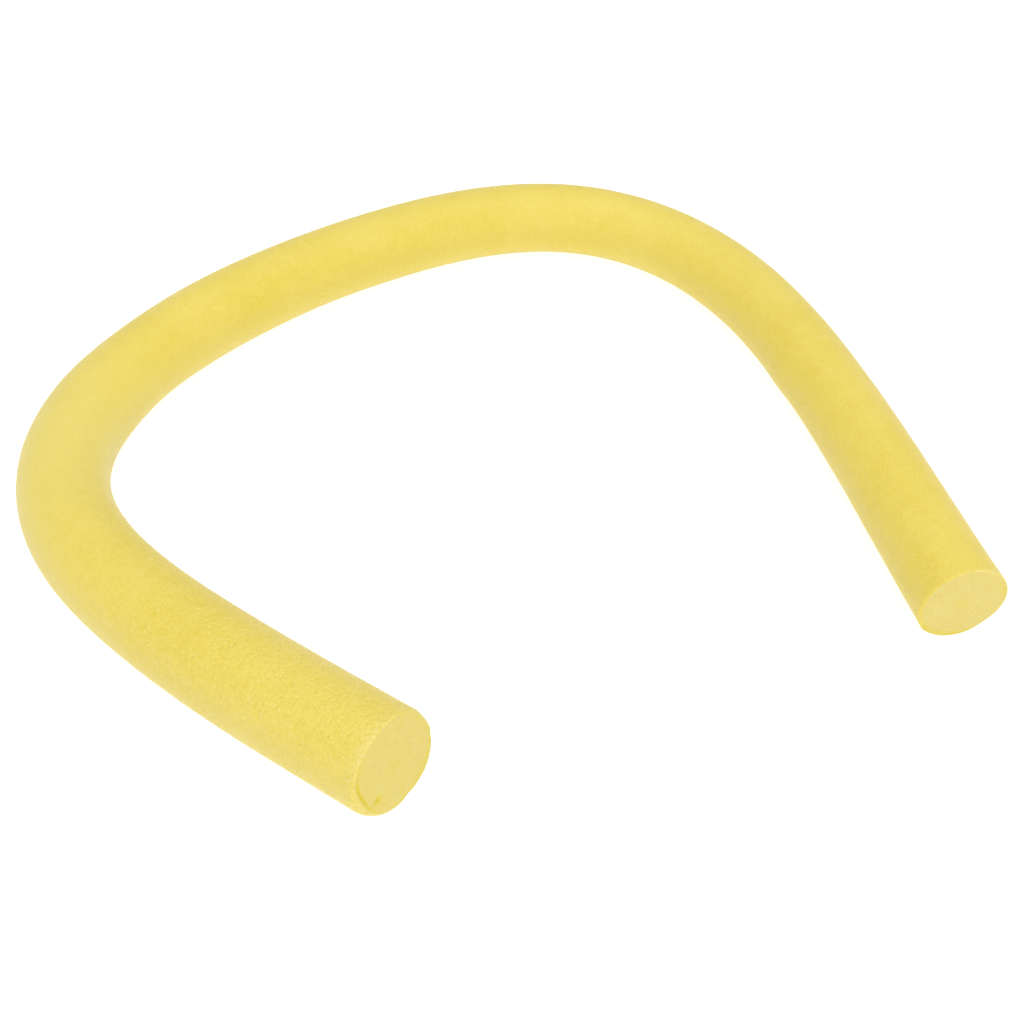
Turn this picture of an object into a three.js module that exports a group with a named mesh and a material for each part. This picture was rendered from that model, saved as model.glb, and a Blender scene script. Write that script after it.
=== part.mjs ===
// A solid foam pool noodle, bent into a lopsided horseshoe and lying on the floor.
//
// Millimetres, +Z up. The floor is z = 0, and the origin lies on it, under the middle of the
// noodle's bounding box. +Y points from the open side of the horseshoe to its closed back.
//
// The noodle is one piece: a round bar of closed-cell polyethylene foam with a full core, cut
// square at both ends. Its centreline is a formula. A heading starts at the far right-hand end,
// a few bends turn it round to the left, and the line follows it to the near end.

import * as THREE from "three";

// The bar.
const LENGTH = 1600;
const DIAMETER = 65;

// The way the centreline starts out, in degrees from +X towards +Y.
const FIRST_HEADING = 103;

// Each bend turns the heading to the left by its turn in degrees. Its middle lies at its place
// along the length, and half of its turn happens within about half its spread of there.
const BENDS = [
  { turn: 86, place: 528, spread: 195 },
  { turn: 33, place: 598, spread: 100 },
  { turn: 30, place: 1005, spread: 195 },
  { turn: 75, place: 1225, spread: 125 },
];

// The foam's own curl holds the near end clear of the floor, over the last part of its length.
const TIP_LIFT = 40;
const LIFT_REACH = 500;

// The section is a regular polygon with one side facing straight down, so that the noodle
// rests on a flat strip.
const SECTION_SIDES = 32;
const LENGTH_STEPS = 80;
const WALK_STEPS_PER_STATION = 20;

const radius = DIAMETER / 2;
const restingHeight = radius * Math.cos(Math.PI / SECTION_SIDES);

// The heading in radians at a distance along the length.
function headingAt(distance) {
  let heading = FIRST_HEADING;
  for (const { turn, place, spread } of BENDS) {
    heading += (turn / 2) * (Math.tanh((distance - place) / spread) + Math.tanh(place / spread));
  }
  return THREE.MathUtils.degToRad(heading);
}

// The centreline's height above the floor, which rises as a parabola towards the near end.
function heightAt(distance) {
  const intoLift = Math.max(0, 1 - (LENGTH - distance) / LIFT_REACH);
  return restingHeight + TIP_LIFT * intoLift ** 2;
}

// The centreline, walked from the far end in short straight steps.
function centreline() {
  const stride = LENGTH / (LENGTH_STEPS * WALK_STEPS_PER_STATION);
  const stations = [new THREE.Vector3(0, 0, heightAt(0))];
  let [x, y] = [0, 0];
  for (let station = 1; station <= LENGTH_STEPS; station++) {
    for (let step = 0; step < WALK_STEPS_PER_STATION; step++) {
      const walked = (station - 1) * WALK_STEPS_PER_STATION + step;
      const heading = headingAt((walked + 0.5) * stride);
      x += stride * Math.cos(heading);
      y += stride * Math.sin(heading);
    }
    stations.push(new THREE.Vector3(x, y, heightAt((station * LENGTH) / LENGTH_STEPS)));
  }
  return new THREE.CatmullRomCurve3(stations);
}

// The round section as a polygon. Its +X side becomes the side that faces down.
function section() {
  const corners = [];
  for (let side = 0; side < SECTION_SIDES; side++) {
    const angle = ((side + 0.5) * 2 * Math.PI) / SECTION_SIDES;
    corners.push(new THREE.Vector2(radius * Math.cos(angle), radius * Math.sin(angle)));
  }
  return new THREE.Shape(corners);
}

// The closed-cell foam: pale yellow, matt, with a faint waxy sheen.
function foam() {
  return new THREE.MeshStandardMaterial({ color: 0xf0da6e, roughness: 0.8, metalness: 0 });
}

// The bar, with the middle of its box moved over the origin.
function foamBody() {
  const geometry = new THREE.ExtrudeGeometry(section(), {
    steps: LENGTH_STEPS,
    extrudePath: centreline(),
  });
  geometry.computeBoundingBox();
  const middle = geometry.boundingBox.getCenter(new THREE.Vector3());
  const mesh = new THREE.Mesh(geometry, foam());
  mesh.name = "foam_body";
  mesh.position.set(-middle.x, -middle.y, 0);
  return mesh;
}

const noodle = new THREE.Group();
noodle.add(foamBody());

export default noodle;
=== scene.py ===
"""A solid foam pool noodle, bent into a lopsided horseshoe, on a pale studio floor. Metres.

The CAD bar is replaced by a fine mesh on the same centreline. The mesh is laid out as a grid of
rings: across the far cut face, round its rim, along the skin, and in again over the near cut
face. Each vertex remembers its place in the straight bar, where the foam's grain is worked out.

An angle round the bar is in degrees: 0 is the inner side of the bend, 90 the top, 180 the outer
side and 270 the bottom.
"""
import math
from collections import namedtuple

import bpy
from mathutils import Matrix, Vector, noise


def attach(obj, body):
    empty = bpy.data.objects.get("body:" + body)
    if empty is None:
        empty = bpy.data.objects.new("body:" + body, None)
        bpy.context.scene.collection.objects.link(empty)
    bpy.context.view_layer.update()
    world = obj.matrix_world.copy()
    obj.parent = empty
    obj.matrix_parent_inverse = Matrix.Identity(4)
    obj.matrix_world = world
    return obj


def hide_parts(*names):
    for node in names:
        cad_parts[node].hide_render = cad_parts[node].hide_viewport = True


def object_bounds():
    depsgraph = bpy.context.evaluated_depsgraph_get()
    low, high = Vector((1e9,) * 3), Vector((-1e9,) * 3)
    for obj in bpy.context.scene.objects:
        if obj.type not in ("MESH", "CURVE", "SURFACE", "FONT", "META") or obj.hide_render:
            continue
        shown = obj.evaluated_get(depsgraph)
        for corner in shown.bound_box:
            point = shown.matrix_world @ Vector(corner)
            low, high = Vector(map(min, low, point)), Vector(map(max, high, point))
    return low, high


MM = 0.001

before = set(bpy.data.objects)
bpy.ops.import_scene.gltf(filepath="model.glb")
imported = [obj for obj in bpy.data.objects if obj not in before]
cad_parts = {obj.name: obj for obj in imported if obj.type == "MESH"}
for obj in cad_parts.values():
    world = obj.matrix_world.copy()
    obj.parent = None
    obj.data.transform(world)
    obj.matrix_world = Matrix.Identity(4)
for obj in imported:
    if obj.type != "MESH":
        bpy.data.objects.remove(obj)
cad_low, cad_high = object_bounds()

# The bar and its bends, as in the CAD model.
LENGTH = 1600 * MM
DIAMETER = 65 * MM
FIRST_HEADING = 103
BENDS = (
    # turn in degrees, place and spread along the length
    (86, 528 * MM, 195 * MM),
    (33, 598 * MM, 100 * MM),
    (30, 1005 * MM, 195 * MM),
    (75, 1225 * MM, 125 * MM),
)
TIP_LIFT = 40 * MM
LIFT_REACH = 500 * MM
CAD_SIDES = 32
RADIUS = DIAMETER / 2
RESTING_HEIGHT = RADIUS * math.cos(math.pi / CAD_SIDES)

# The mesh grid.
AROUND = 128
SKIN_RINGS = 590
RIM_RINGS = 8
FACE_RINGS = 44
WALK_STEPS = 1600
FIRST_ANGLE = -90
SKIN_SLOT = 0
CUT_SLOT = 1
PLAIN_ANGLE_STEP = 5

# The skin's slow waves, pebbling and die lines: size round the bar, length along it, height.
UNEVENNESS = (
    (25 * MM, 70 * MM, 0.28 * MM),
    (6 * MM, 6 * MM, 0.08 * MM),
    (RADIUS / 7, 400 * MM, 0.06 * MM),
)
# Where the whole bar is thicker or thinner than its nominal round: distance, reach, height.
SWELLINGS = (
    (170 * MM, 200 * MM, -0.35 * MM),
    (750 * MM, 60 * MM, 0.35 * MM),
    (1060 * MM, 45 * MM, -0.8 * MM),
    (1220 * MM, 60 * MM, -0.5 * MM),
    (1470 * MM, 90 * MM, 0.7 * MM),
)
# Where the skin stands out or in on one side: distance, reach, angle, angle width, height.
SKIN_BUMPS = (
    (285 * MM, 22 * MM, 0, 55, 1.5 * MM),
    (640 * MM, 45 * MM, 0, 50, 0.9 * MM),
    (1375 * MM, 3 * MM, 0, 14, -0.7 * MM),
)

# A cut end. Its rim is rounded by least_rounding, and by more at each (angle, angle width, size).
# A groove runs along the face's edge: (angle, angle width, inset, width, depth). A nick is (angle,
# radius, width, depth), a lip (angle, angle width, reach along the bar, height) and a scuff, a
# paler tint with a painted highlight along the rim, (angle, angle width, reach, strength). Grooves
# and nicks also get painted shade. The face's deeper-coloured rind is widest at (angle, angle
# width), and ripeness is how much of that colour the whole face has.
CutEnd = namedtuple("CutEnd", "least_rounding rounding grooves nicks lips scuffs rind ripeness")
FAR_END = CutEnd(
    least_rounding=1.0 * MM,
    rounding=((355, 40, 2.0 * MM), (250, 40, 0.8 * MM)),
    grooves=((157, 24, 2.4 * MM, 1.5 * MM, 0.35 * MM),),
    nicks=((60, 19 * MM, 0.9 * MM, 0.4 * MM),),
    lips=(
        (312, 9, 2.5 * MM, 0.6 * MM),
        (262, 34, 5 * MM, 1.1 * MM),
        (150, 45, 20 * MM, 0.8 * MM),
        (222, 16, 4 * MM, -0.7 * MM),
        (0, 42, 22 * MM, -1.4 * MM),
    ),
    # The first scuff paints a thin, broken highlight along the top of the rim; the other two are a
    # paler tint where the face meets the skin.
    scuffs=((100, 18, 1.0 * MM, 0.7), (140, 50, 2.5 * MM, 0.8), (220, 55, 3 * MM, 0.9)),
    rind=(300, 75),
    ripeness=0,
)
NEAR_END = CutEnd(
    least_rounding=1.0 * MM,
    rounding=((197, 38, 5.0 * MM), (34, 19, 3.4 * MM), (290, 50, 0.8 * MM)),
    grooves=((184, 36, 0, 1.0 * MM, 1.4 * MM),),
    nicks=(
        (222.5, 21.9 * MM, 1.0 * MM, 1.3 * MM),
        (220, 22.0 * MM, 3.8 * MM, 0.7 * MM),
        (238, 24.5 * MM, 0.8 * MM, 0.6 * MM),
    ),
    lips=(
        (312, 25, 6 * MM, 1.8 * MM),
        (264, 10, 4 * MM, 0.5 * MM),
        (352, 6, 4 * MM, -0.7 * MM),
        (282, 6, 4 * MM, -0.7 * MM),
        (18, 20, 26 * MM, -1.0 * MM),
        (225, 16, 5 * MM, -0.4 * MM),
    ),
    # Both scuffs are a paler tint with a painted highlight band on the skin beside the rim's upper
    # side.
    scuffs=((125, 40, 7 * MM, 0.55), (115, 60, 2.5 * MM, 0.35)),
    rind=(305, 75),
    ripeness=0.45,
)
LEAST_RIND = 2 * MM
RIND_SPREAD = 5 * MM
RIND_FADE = 4 * MM
CORE_RADIUS = 5 * MM
CORE_DEPTH = 0.5 * MM
# How much painted shade the face's sunken middle gets, as a share of the full shade.
CORE_SHADE = 0.3
FACE_WAVE = 9 * MM
FACE_WAVE_HEIGHT = 0.15 * MM
# Takes the near face's waves from another part of the noise, so that the two faces differ.
NEAR_FACE_OFFSET = 5
# The depth of a groove or nick at which it gets the full painted shade.
FULL_SHADE_DEPTH = 0.9 * MM


# ---------------------------------------------------------------- centreline


def heading_at(distance):
    """The heading in radians, from +X towards +Y."""
    degrees = FIRST_HEADING
    for turn, place, spread in BENDS:
        degrees += turn / 2 * (math.tanh((distance - place) / spread) + math.tanh(place / spread))
    return math.radians(degrees)


def height_at(distance):
    into_lift = max(0, 1 - (LENGTH - distance) / LIFT_REACH)
    return RESTING_HEIGHT + TIP_LIFT * into_lift**2


def slope_at(distance):
    into_lift = max(0, 1 - (LENGTH - distance) / LIFT_REACH)
    return 2 * TIP_LIFT * into_lift / LIFT_REACH


def walk():
    """The centreline's plan, as points a short stride apart, from the far end to the near end."""
    stride = LENGTH / WALK_STEPS
    points = [Vector((0, 0))]
    for step in range(WALK_STEPS):
        heading = heading_at((step + 0.5) * stride)
        points.append(points[-1] + stride * Vector((math.cos(heading), math.sin(heading))))
    return points


PLAN = walk()


def station(distance):
    """(point, left, up) of the centreline at a distance along the length."""
    place = distance / LENGTH * WALK_STEPS
    step = min(max(int(place), 0), WALK_STEPS - 1)
    plan = PLAN[step].lerp(PLAN[step + 1], place - step)
    heading, slope = heading_at(distance), slope_at(distance)
    forward = Vector((math.cos(heading), math.sin(heading), slope)).normalized()
    left = Vector((-math.sin(heading), math.cos(heading), 0))
    return Vector((*plan, height_at(distance))), left, forward.cross(left)


# ---------------------------------------------------------------- relief


def swell(gap, width):
    """1 where the gap is 0, falling to nearly 0 at two widths."""
    return math.exp(-((gap / width) ** 2))


def turn_swell(angle, middle, width):
    """The same, for directions in degrees."""
    return swell((angle - middle + 180) % 360 - 180, width)


def side_at(angle):
    turn = math.radians(angle)
    return Vector((math.cos(turn), math.sin(turn), 0))


def skin_radius(distance, angle):
    """The skin's distance from the centreline: a round bar, its unevenness, bumps and lips."""
    radius = RADIUS
    for size, length, height in UNEVENNESS:
        place = side_at(angle) * RADIUS / size + Vector((0, 0, distance / length))
        radius += height * noise.noise(place)
    radius += sum(height * swell(distance - place, reach) for place, reach, height in SWELLINGS)
    for place, reach, middle, width, height in SKIN_BUMPS:
        radius += height * swell(distance - place, reach) * turn_swell(angle, middle, width)
    for end, from_end in ((FAR_END, distance), (NEAR_END, LENGTH - distance)):
        for middle, width, reach, height in end.lips:
            radius += height * swell(from_end, reach) * turn_swell(angle, middle, width)
    return radius


def rim_rounding(end, angle):
    extra = sum(size * turn_swell(angle, middle, width) for middle, width, size in end.rounding)
    return end.least_rounding + extra


def face_marks(end, radius, angle):
    """How deep the grooves and nicks in a cut face are at a point."""
    depth = 0
    for middle, angle_width, inset, width, full in end.grooves:
        gap = radius - (face_edge(end, angle) - inset)
        depth += full * turn_swell(angle, middle, angle_width) * swell(gap, width)
    for middle, place, width, full in end.nicks:
        gap = (radius * side_at(angle) - place * side_at(middle)).length
        depth += full * swell(gap, width)
    return depth


def face_unevenness(end, radius, angle):
    offset = Vector((0, 0, NEAR_FACE_OFFSET if end is NEAR_END else 0))
    wave = noise.noise(side_at(angle) * radius / FACE_WAVE + offset)
    return CORE_DEPTH * swell(radius, CORE_RADIUS) + FACE_WAVE_HEIGHT * wave


# ---------------------------------------------------------------- mesh

# A point of the bar before it is bent, with three tints from 0 to 1: the painted shade of a groove
# or nick, the paler tint and painted highlight of a rim, and the colour of the cut face's rind.
BarPoint = namedtuple("BarPoint", "distance radius sunk scuffed rind", defaults=(0, 0, 0))


def end_point(end, depth, radius, *tints):
    distance = depth if end is FAR_END else LENGTH - depth
    return BarPoint(distance, radius, *tints)


def face_edge(end, angle):
    """The radius at which the flat face turns into the rim."""
    return skin_radius(0 if end is FAR_END else LENGTH, angle) - rim_rounding(end, angle)


# How much of the paler rim tint and painted highlight a point has, at a depth from the end.
def scuff_and_highlight_at(end, depth, angle):
    total = 0
    for middle, width, reach, strength in end.scuffs:
        total += strength * swell(depth, reach) * turn_swell(angle, middle, width)
    return total


def rind_at(end, radius, angle):
    """How far a point of the cut face has the rind's colour, from the end's ripeness to 1."""
    width = LEAST_RIND + RIND_SPREAD * turn_swell(angle, *end.rind)
    return min(max(end.ripeness, (radius - RADIUS + width) / RIND_FADE), 1)


def face_point(end, share, angle):
    radius = share * face_edge(end, angle)
    marks = face_marks(end, radius, angle)
    # Painted shade, deeper with the marks' depth and in the sunken middle.
    sunk = min(1, marks / FULL_SHADE_DEPTH + CORE_SHADE * swell(radius, CORE_RADIUS))
    depth = marks + face_unevenness(end, radius, angle)
    return end_point(end, depth, radius, sunk, 0, rind_at(end, radius, angle))


def rim_point(end, share, angle):
    """A point of the rounded rim, share of the way from the face to the skin."""
    turn = share * math.pi / 2
    inner, rounding = face_edge(end, angle), rim_rounding(end, angle)
    depth = rounding * (1 - math.cos(turn))
    outer = skin_radius(depth if end is FAR_END else LENGTH - depth, angle)
    radius = inner + (outer - inner) * math.sin(turn)
    marks = face_marks(end, radius, angle) * (1 - share)
    dip = marks + face_unevenness(end, radius, angle) * (1 - share)
    # Painted shade where grooves and nicks reach into the rim.
    sunk = min(1, marks / FULL_SHADE_DEPTH)
    return end_point(end, depth + dip, radius, sunk, scuff_and_highlight_at(end, depth, angle), 1)


def skin_point(share, angle):
    first = rim_rounding(FAR_END, angle)
    last = LENGTH - rim_rounding(NEAR_END, angle)
    distance = first + share * (last - first)
    # The paler rim tint and painted highlight near both ends.
    scuffed = scuff_and_highlight_at(FAR_END, distance, angle) + scuff_and_highlight_at(NEAR_END, LENGTH - distance, angle)
    return BarPoint(distance, skin_radius(distance, angle), 0, min(1, scuffed))


def end_rings(end):
    """A cut end's rings, from the face's centre to the skin: (a function of the angle, slot)."""
    rings = []
    for ring in range(1, FACE_RINGS + 1):
        share = ring / FACE_RINGS
        rings.append((lambda angle, share=share: face_point(end, share, angle), CUT_SLOT))
    for ring in range(1, RIM_RINGS + 1):
        share = ring / RIM_RINGS
        rings.append((lambda angle, share=share: rim_point(end, share, angle), SKIN_SLOT))
    return rings


def bar_rings():
    """The rings from the far face's centre to the near face's: (a function of the angle, slot)."""
    rings = end_rings(FAR_END)
    for ring in range(1, SKIN_RINGS):
        share = ring / SKIN_RINGS
        rings.append((lambda angle, share=share: skin_point(share, angle), SKIN_SLOT))
    return rings + end_rings(NEAR_END)[::-1]


def bend(point, angle):
    """Where a point of the straight bar lies once the bar is bent, never below the floor."""
    middle, left, up = station(point.distance)
    side = side_at(angle)
    place = middle + point.radius * (left * side.x + up * side.y)
    place.z = max(place.z, 0)
    return place


def grid_faces(ring_count, slots):
    """The quads between the rings, and the fans that close both ends, with their material slots."""
    faces, face_slots = [], []
    for ring in range(ring_count - 1):
        for column in range(AROUND):
            a = ring * AROUND + column
            b = ring * AROUND + (column + 1) % AROUND
            faces.append((a, b, b + AROUND, a + AROUND))
            face_slots.append(max(slots[ring], slots[ring + 1]))
    far_centre = ring_count * AROUND
    fans = ((far_centre, 0, -1), (far_centre + 1, far_centre - AROUND, 1))
    for centre, start, order in fans:
        for column in range(AROUND):
            pair = (start + column, start + (column + 1) % AROUND)
            faces.append((centre, *pair[::order]))
            face_slots.append(CUT_SLOT)
    return faces, face_slots


def noodle_mesh():
    """The bar as one closed mesh, with its straight-bar coordinates and tints as attributes."""
    rings = bar_rings()
    angles = [360 * column / AROUND + FIRST_ANGLE for column in range(AROUND)]
    points = [(point_at(angle), angle) for point_at, slot in rings for angle in angles]
    points += [(face_point(end, 0, 0), 0) for end in (FAR_END, NEAR_END)]
    faces, face_slots = grid_faces(len(rings), [slot for point_at, slot in rings])
    mesh = bpy.data.meshes.new("noodle_foam")
    mesh.from_pydata([bend(point, angle) for point, angle in points], [], faces)
    mesh.polygons.foreach_set("material_index", face_slots)
    mesh.polygons.foreach_set("use_smooth", [True] * len(faces))
    straight = []
    for point, angle in points:
        straight += (*(point.radius * side_at(angle)).xy, point.distance)
    places = mesh.attributes.new("straight_bar", "FLOAT_VECTOR", "POINT")
    places.data.foreach_set("vector", straight)
    for name in ("sunk", "scuffed", "rind"):
        tint = mesh.attributes.new(name, "FLOAT", "POINT")
        tint.data.foreach_set("value", [getattr(point, name) for point, angle in points])
    mesh.update()
    return mesh


# ---------------------------------------------------------------- material nodes


class Shading:
    """A material and the few kinds of node that the foam is made of."""

    def __init__(self, name):
        self.material = bpy.data.materials.new(name)
        self.material.use_nodes = True
        self.nodes = self.material.node_tree.nodes
        self.links = self.material.node_tree.links
        self.shader = self.nodes["Principled BSDF"]

    def feed(self, socket, value):
        if isinstance(value, bpy.types.NodeSocket):
            self.links.new(value, socket)
        else:
            socket.default_value = value

    def attribute(self, name, output):
        node = self.nodes.new("ShaderNodeAttribute")
        node.attribute_name = name
        return node.outputs[output]

    def along(self, vector):
        """How far along the bar a point is."""
        parts = self.nodes.new("ShaderNodeSeparateXYZ")
        self.links.new(vector, parts.inputs["Vector"])
        return parts.outputs["Z"]

    def maths(self, operation, first, second=0.0):
        node = self.nodes.new("ShaderNodeMath")
        node.operation = operation
        self.feed(node.inputs[0], first)
        self.feed(node.inputs[1], second)
        return node.outputs[0]

    def blend(self, factor, first, second):
        """The first colour turning to the second as the factor goes from 0 to 1."""
        node = self.nodes.new("ShaderNodeMix")
        node.data_type = "RGBA"
        self.feed(node.inputs["Factor"], factor)
        self.feed(node.inputs["A"], first)
        self.feed(node.inputs["B"], second)
        return node.outputs["Result"]

    def span(self, value, low, high, to_low=0.0, to_high=1.0):
        """The value carried from one range to another, and kept inside it."""
        node = self.nodes.new("ShaderNodeMapRange")
        names = ("From Min", "From Max", "To Min", "To Max")
        for name, number in zip(names, (low, high, to_low, to_high)):
            node.inputs[name].default_value = number
        self.feed(node.inputs["Value"], value)
        return node.outputs["Result"]

    def grain(self, vector, size, detail=2.0):
        """A soft noise whose features are about the given size in metres."""
        node = self.nodes.new("ShaderNodeTexNoise")
        node.inputs["Scale"].default_value = 1 / size
        node.inputs["Detail"].default_value = detail
        self.links.new(vector, node.inputs["Vector"])
        return node.outputs["Fac"]

    def cells(self, vector, size):
        """(how far out in its foam cell a point is, a random number for each cell)."""
        node = self.nodes.new("ShaderNodeTexVoronoi")
        node.inputs["Scale"].default_value = 1 / size
        self.links.new(vector, node.inputs["Vector"])
        shade = self.nodes.new("ShaderNodeSeparateColor")
        self.links.new(node.outputs["Color"], shade.inputs["Color"])
        return node.outputs["Distance"], shade.outputs["Red"]

    def sum_of(self, *parts):
        """Each part is (value, weight)."""
        total = 0.0
        for value, weight in parts:
            total = self.maths("ADD", total, self.maths("MULTIPLY", value, weight))
        return total

    def raise_surface(self, height):
        """Bumps the surface by a height in metres."""
        bump = self.nodes.new("ShaderNodeBump")
        bump.inputs["Strength"].default_value = 1.0
        bump.inputs["Distance"].default_value = 1.0
        self.links.new(height, bump.inputs["Height"])
        self.links.new(bump.outputs["Normal"], self.shader.inputs["Normal"])


# ---------------------------------------------------------------- foam materials

SKIN_DEEP = (0.645, 0.505, 0.053, 1)
SKIN_PALE = (0.72, 0.59, 0.140, 1)
# A painted whitish reflection on the skin round the tight bend.
PAINTED_HAZE = (0.675, 0.565, 0.130, 1)
# Painted shade: the deeper, more saturated colour put into grooves, nicks and the face's sunken
# middle.
RECESS_SHADE_COLOUR = (0.65, 0.51, 0.015, 1)
# A paler rim tint, which also carries the painted highlights along the rims.
SCUFF_AND_HIGHLIGHT_COLOUR = (0.72, 0.62, 0.26, 1)
# Painted glints: small pale spots that stand for light glinting off the skin's cells.
PAINTED_GLINT = (0.76, 0.66, 0.22, 1)
CUT_DEEP = (0.63, 0.50, 0.115, 1)
CUT_PALE = (0.67, 0.555, 0.155, 1)
CUT_RIND = (0.65, 0.52, 0.07, 1)

# The part of a noise's values that its full range of colour is spread over.
NOISE_RANGE = (0.3, 0.7)
# The skin's soft noises: broad clouds, finer mottling and the patches that break up a rim's scuffs
# and painted highlights.
CLOUD_SIZE = 60 * MM
MOTTLE_SIZE = 9 * MM
PATCH_SIZE = 1.3 * MM
PATCH_RANGE = (0.4, 0.65)
# How much the clouds and the mottling make the skin paler. CELL_CONTRASTS has the cells' part.
CLOUD_WEIGHT = 0.25
MOTTLE_WEIGHT = 0.2

SKIN_CELL = 2.0 * MM
SKIN_FINE_CELL = 1.2 * MM
# A painted glint is pale out to the first radius and gone at the second, in cells. A higher rarity
# leaves fewer of the cells with a strong glint.
GLINT_SPACING = 3 * MM
GLINT_RADII = (0.14, 0.28)
GLINT_RARITY = 3.0
# The middle of the tight bend, where a whitish reflection is painted on the skin, and how far that
# reaches.
HAZE_MIDDLE = 1200 * MM
HAZE_REACH = 150 * MM
HAZE_STRENGTH = 0.7
# Between these places the domes, the painted glints and the contrast of the cells grow from the
# first value to the second.
GROWTH = (1260 * MM, 1480 * MM)
DOME_HEIGHTS = (0.16 * MM, 0.4 * MM)
GLINT_STRENGTHS = (0.4, 0.9)
CELL_CONTRASTS = (0.38, 0.6)
# How far the skin's smaller relief stands out or in.
FINE_DOME_HEIGHT = 0.18 * MM
CELL_STEP = 0.06 * MM
MOTTLE_HEIGHT = 0.1 * MM
SKIN_ROUGHNESSES = (0.42, 0.58)
SKIN_SPECULAR = 0.35
SKIN_SHEEN = 0.1

CUT_CELL = 1.3 * MM
CUT_FINE_CELL = 0.6 * MM
CUT_CLOUD_SIZE = 12 * MM
CUT_CLOUD_WEIGHT = 0.4
CUT_CELL_WEIGHT = 0.35
CUT_FINE_WEIGHT = 0.25
# The rind's inner edge is frayed by a noise of this size, between these sums of rind and noise.
FRAY_SIZE = 5 * MM
FRAY_RANGE = (0.7, 1.3)
PIT_DEPTH = 0.25 * MM
FINE_PIT_DEPTH = 0.08 * MM
CUT_ROUGHNESS = 0.85
CUT_SHEEN = 0.15
SHEEN_ROUGHNESS = 0.6


def glint_strength(foam, bar, along):
    """How strongly a point has the pale colour of a painted glint."""
    out_of_glint, glint_shade = foam.cells(bar, GLINT_SPACING)
    glint = foam.span(out_of_glint, *GLINT_RADII, 1.0, 0.0)
    glint = foam.maths("MULTIPLY", glint, foam.maths("POWER", glint_shade, GLINT_RARITY))
    return foam.maths("MULTIPLY", glint, foam.span(along, *GROWTH, *GLINT_STRENGTHS))


def haze_strength(foam, along):
    """How far a point has the painted whitish reflection round the tight bend."""
    gap = foam.maths("ABSOLUTE", foam.maths("SUBTRACT", along, HAZE_MIDDLE))
    return foam.span(gap, 0.0, HAZE_REACH, HAZE_STRENGTH, 0.0)


def scuff_and_highlight_strength(foam, bar):
    """How far a point has the paler tint and painted highlight of a rim, in patches."""
    patches = foam.span(foam.grain(bar, PATCH_SIZE), *PATCH_RANGE)
    return foam.maths("MULTIPLY", foam.attribute("scuffed", "Fac"), patches)


def skin_colour(foam, bar, cell, fine_cell, mottle):
    """The skin's colour, with painted glints, reflection, highlight and shade. A cell is what
    Shading.cells gives for it.
    """
    along = foam.along(bar)
    clouds = foam.span(foam.grain(bar, CLOUD_SIZE), *NOISE_RANGE)
    speckle = foam.sum_of((cell[1], 0.5), (fine_cell[1], 0.5), (cell[0], -0.5))
    speckle = foam.maths("MULTIPLY", speckle, foam.span(along, *GROWTH, *CELL_CONTRASTS))
    paleness = foam.sum_of((clouds, CLOUD_WEIGHT), (mottle, MOTTLE_WEIGHT), (speckle, 1.0))
    colour = foam.blend(paleness, SKIN_DEEP, SKIN_PALE)
    # Painted reflection round the tight bend.
    colour = foam.blend(haze_strength(foam, along), colour, PAINTED_HAZE)
    # Painted glints.
    colour = foam.blend(glint_strength(foam, bar, along), colour, PAINTED_GLINT)
    # The paler rim tint and painted highlight.
    colour = foam.blend(scuff_and_highlight_strength(foam, bar), colour, SCUFF_AND_HIGHLIGHT_COLOUR)
    # Painted shade in the grooves and nicks that reach the rim.
    return foam.blend(foam.attribute("sunk", "Fac"), colour, RECESS_SHADE_COLOUR)


def skin_height(foam, bar, cell, fine_cell, mottle):
    """The skin's relief in metres: domes of two sizes, uneven cells and the mottling."""
    domes = foam.maths("MULTIPLY", foam.maths("POWER", cell[0], 2.0), -1.0)
    domes = foam.maths("MULTIPLY", domes, foam.span(foam.along(bar), *GROWTH, *DOME_HEIGHTS))
    return foam.sum_of(
        (domes, 1.0),
        (foam.maths("POWER", fine_cell[0], 2.0), -FINE_DOME_HEIGHT),
        (cell[1], CELL_STEP),
        (mottle, MOTTLE_HEIGHT),
    )


def foam_skin():
    """The extruded skin: closed cells that stand out as low domes, mottled and lightly scuffed,
    with painted glints, reflection, highlight and shade.
    """
    foam = Shading("foam_skin")
    bar = foam.attribute("straight_bar", "Vector")
    cell, fine_cell = foam.cells(bar, SKIN_CELL), foam.cells(bar, SKIN_FINE_CELL)
    mottle = foam.span(foam.grain(bar, MOTTLE_SIZE), *NOISE_RANGE)
    colour = skin_colour(foam, bar, cell, fine_cell, mottle)
    roughness = foam.span(mottle, 0.0, 1.0, *SKIN_ROUGHNESSES)
    foam.links.new(colour, foam.shader.inputs["Base Color"])
    foam.links.new(roughness, foam.shader.inputs["Roughness"])
    foam.raise_surface(skin_height(foam, bar, cell, fine_cell, mottle))
    foam.shader.inputs["Specular IOR Level"].default_value = SKIN_SPECULAR
    foam.shader.inputs["Sheen Weight"].default_value = SKIN_SHEEN
    foam.shader.inputs["Sheen Roughness"].default_value = SHEEN_ROUGHNESS
    return foam.material


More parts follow.
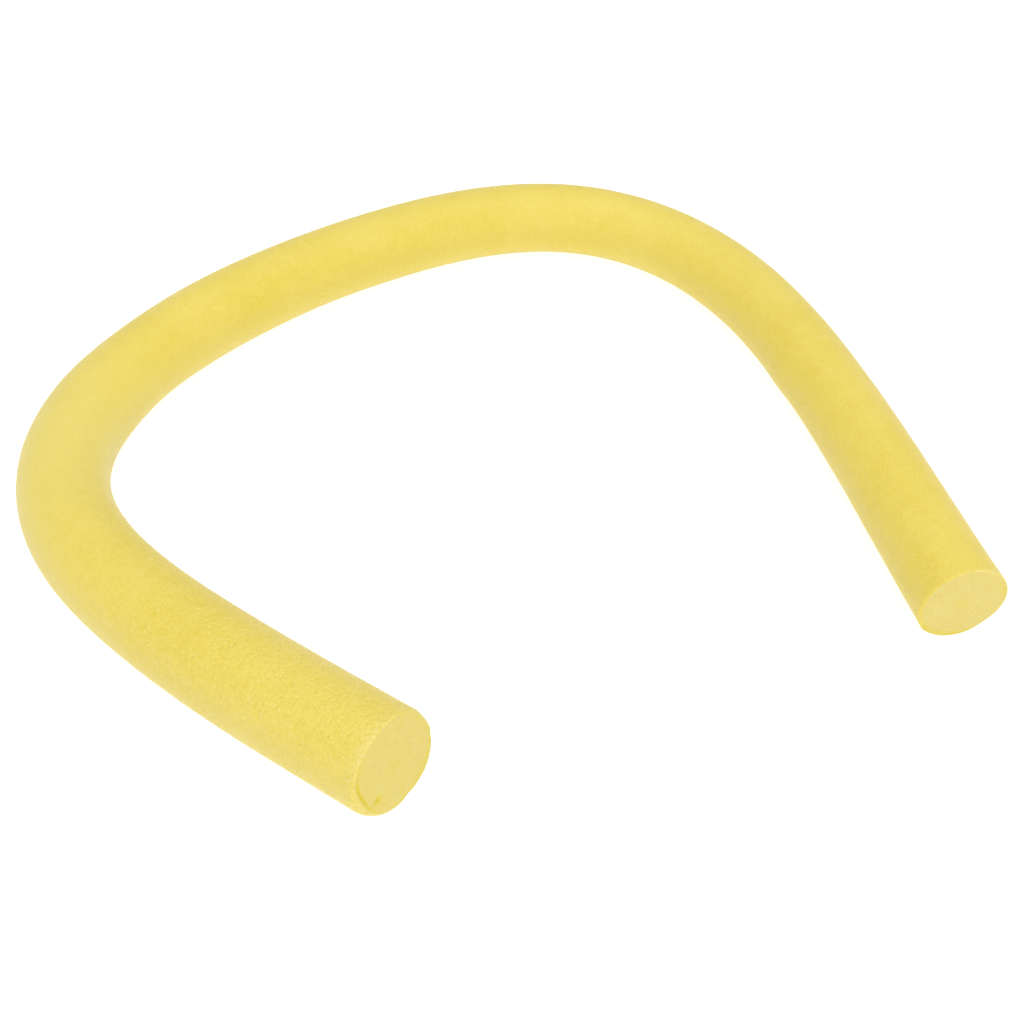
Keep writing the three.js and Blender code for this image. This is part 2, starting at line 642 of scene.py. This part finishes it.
def foam_cut():
    """The cut face: paler, matt, with the cut cells open as fine pits and a deeper rind."""
    foam = Shading("foam_cut")
    bar = foam.attribute("straight_bar", "Vector")
    out_in_cell, cell_shade = foam.cells(bar, CUT_CELL)
    out_in_fine, fine_shade = foam.cells(bar, CUT_FINE_CELL)
    clouds = foam.span(foam.grain(bar, CUT_CLOUD_SIZE), *NOISE_RANGE)

    shades = (
        (clouds, CUT_CLOUD_WEIGHT),
        (cell_shade, CUT_CELL_WEIGHT),
        (fine_shade, CUT_FINE_WEIGHT),
    )
    colour = foam.blend(foam.sum_of(*shades), CUT_DEEP, CUT_PALE)
    frayed = foam.sum_of((foam.attribute("rind", "Fac"), 1.0), (foam.grain(bar, FRAY_SIZE), 1.0))
    colour = foam.blend(foam.span(frayed, *FRAY_RANGE), colour, CUT_RIND)
    # Painted shade in the grooves, nicks and sunken middle of the cut face.
    colour = foam.blend(foam.attribute("sunk", "Fac"), colour, RECESS_SHADE_COLOUR)
    foam.links.new(colour, foam.shader.inputs["Base Color"])

    pits = foam.maths("POWER", out_in_cell, 2.0)
    fine_pits = foam.maths("POWER", out_in_fine, 2.0)
    relief = ((pits, PIT_DEPTH), (fine_pits, FINE_PIT_DEPTH), (cell_shade, CELL_STEP))
    foam.raise_surface(foam.sum_of(*relief))
    foam.shader.inputs["Roughness"].default_value = CUT_ROUGHNESS
    foam.shader.inputs["Sheen Weight"].default_value = CUT_SHEEN
    foam.shader.inputs["Sheen Roughness"].default_value = SHEEN_ROUGHNESS
    return foam.material


# ---------------------------------------------------------------- the noodle


def plain_bar():
    """Points all over the bar as it would be without its rounded rims, bumps and lips."""
    points = []
    for ring in range(SKIN_RINGS + 1):
        point = BarPoint(LENGTH * ring / SKIN_RINGS, RADIUS)
        points += [bend(point, angle) for angle in range(0, 360, PLAIN_ANGLE_STEP)]
    return points


def centre_on_cad(mesh):
    """Moves the mesh by what takes the middle of the plain bar's plan box to the CAD box's."""
    xs, ys, heights = zip(*plain_bar())
    middle = (cad_low + cad_high) / 2
    shift = Vector((middle.x - (min(xs) + max(xs)) / 2, middle.y - (min(ys) + max(ys)) / 2, 0))
    mesh.transform(Matrix.Translation(shift))


def add_noodle():
    mesh = noodle_mesh()
    centre_on_cad(mesh)
    mesh.materials.append(foam_skin())
    mesh.materials.append(foam_cut())
    noodle = bpy.data.objects.new("noodle_foam", mesh)
    bpy.context.scene.collection.objects.link(noodle)
    return noodle


noodle = add_noodle()
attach(noodle, "root")
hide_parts("foam_body")


# ---------------------------------------------------------------- studio

FLOOR_SIZE = 200
FLOOR_WHITE = 0.45
FLOOR_GLOW = 0.82
# How bright the world is where it lights the object, and where the camera sees it directly.
WORLD_STRENGTH = 0.66
BACKDROP_WHITE = 1.0
SOFTBOX_SIZE = 2.5
SOFTBOX_DISTANCE = 4
# Each softbox: name, azimuth to the right of the camera, elevation, watts.
SOFTBOXES = (("key", 12, 27, 48), ("top", 0, 90, 88))


def add_floor():
    """A white floor that glows faintly, like a light table, which lifts the undersides."""
    bpy.ops.mesh.primitive_plane_add(size=FLOOR_SIZE)
    floor = bpy.context.object
    floor.name = "studio_floor"
    paint = Shading("studio_floor")
    paint.shader.inputs["Base Color"].default_value = (FLOOR_WHITE, FLOOR_WHITE, FLOOR_WHITE, 1)
    paint.shader.inputs["Roughness"].default_value = 1
    paint.shader.inputs["Specular IOR Level"].default_value = 0
    paint.shader.inputs["Emission Color"].default_value = (1, 1, 1, 1)
    paint.shader.inputs["Emission Strength"].default_value = FLOOR_GLOW
    floor.data.materials.append(paint.material)


def add_world():
    """Even light from all round, in front of a white backdrop that adds no light of its own."""
    world = bpy.data.worlds.new("studio")
    world.use_nodes = True
    nodes, links = world.node_tree.nodes, world.node_tree.links
    background = nodes["Background"]
    background.inputs["Color"].default_value = (1, 1, 1, 1)
    seen = nodes.new("ShaderNodeLightPath").outputs["Is Camera Ray"]
    strength = nodes.new("ShaderNodeMapRange")
    strength.inputs["To Min"].default_value = WORLD_STRENGTH
    strength.inputs["To Max"].default_value = BACKDROP_WHITE
    links.new(seen, strength.inputs["Value"])
    links.new(strength.outputs["Result"], background.inputs["Strength"])
    bpy.context.scene.world = world


def add_softbox(name, azimuth, elevation, power):
    light = bpy.data.lights.new(name, "AREA")
    light.shape = "DISK"
    light.size = SOFTBOX_SIZE
    light.energy = power
    turn, rise = math.radians(azimuth), math.radians(elevation)
    flat = math.cos(rise)
    towards = Vector((flat * math.sin(turn), -flat * math.cos(turn), math.sin(rise)))
    softbox = bpy.data.objects.new(name, light)
    softbox.location = SOFTBOX_DISTANCE * towards
    softbox.rotation_euler = (-towards).to_track_quat("-Z", "Y").to_euler()
    bpy.context.scene.collection.objects.link(softbox)


# The camera: its height above the horizon, roll, distance, aim on the floor, and lens.
CAMERA_PITCH = 42.45
CAMERA_ROLL = 4.79
CAMERA_DISTANCE = 956.8 * MM
CAMERA_AIM = Vector((7.6 * MM, -54.1 * MM, 0))
CAMERA_LENS = 43.95
SENSOR_WIDTH = 36


def add_camera():
    data = bpy.data.cameras.new("camera")
    data.sensor_width = SENSOR_WIDTH
    data.lens = CAMERA_LENS
    camera = bpy.data.objects.new("camera", data)
    pitch, roll = math.radians(CAMERA_PITCH), math.radians(CAMERA_ROLL)
    back = Vector((0, -math.cos(pitch), math.sin(pitch)))
    right = Vector((1, 0, 0))
    up = back.cross(right)
    turned_right = math.cos(roll) * right + math.sin(roll) * up
    turned_up = math.cos(roll) * up - math.sin(roll) * right
    camera.matrix_world = Matrix.Translation(CAMERA_AIM + CAMERA_DISTANCE * back) @ Matrix(
        (turned_right, turned_up, back)
    ).transposed().to_4x4()
    bpy.context.scene.collection.objects.link(camera)
    bpy.context.scene.camera = camera


add_floor()
add_world()
for softbox in SOFTBOXES:
    add_softbox(*softbox)
add_camera()
bpy.context.scene.view_settings.view_transform = "Standard"
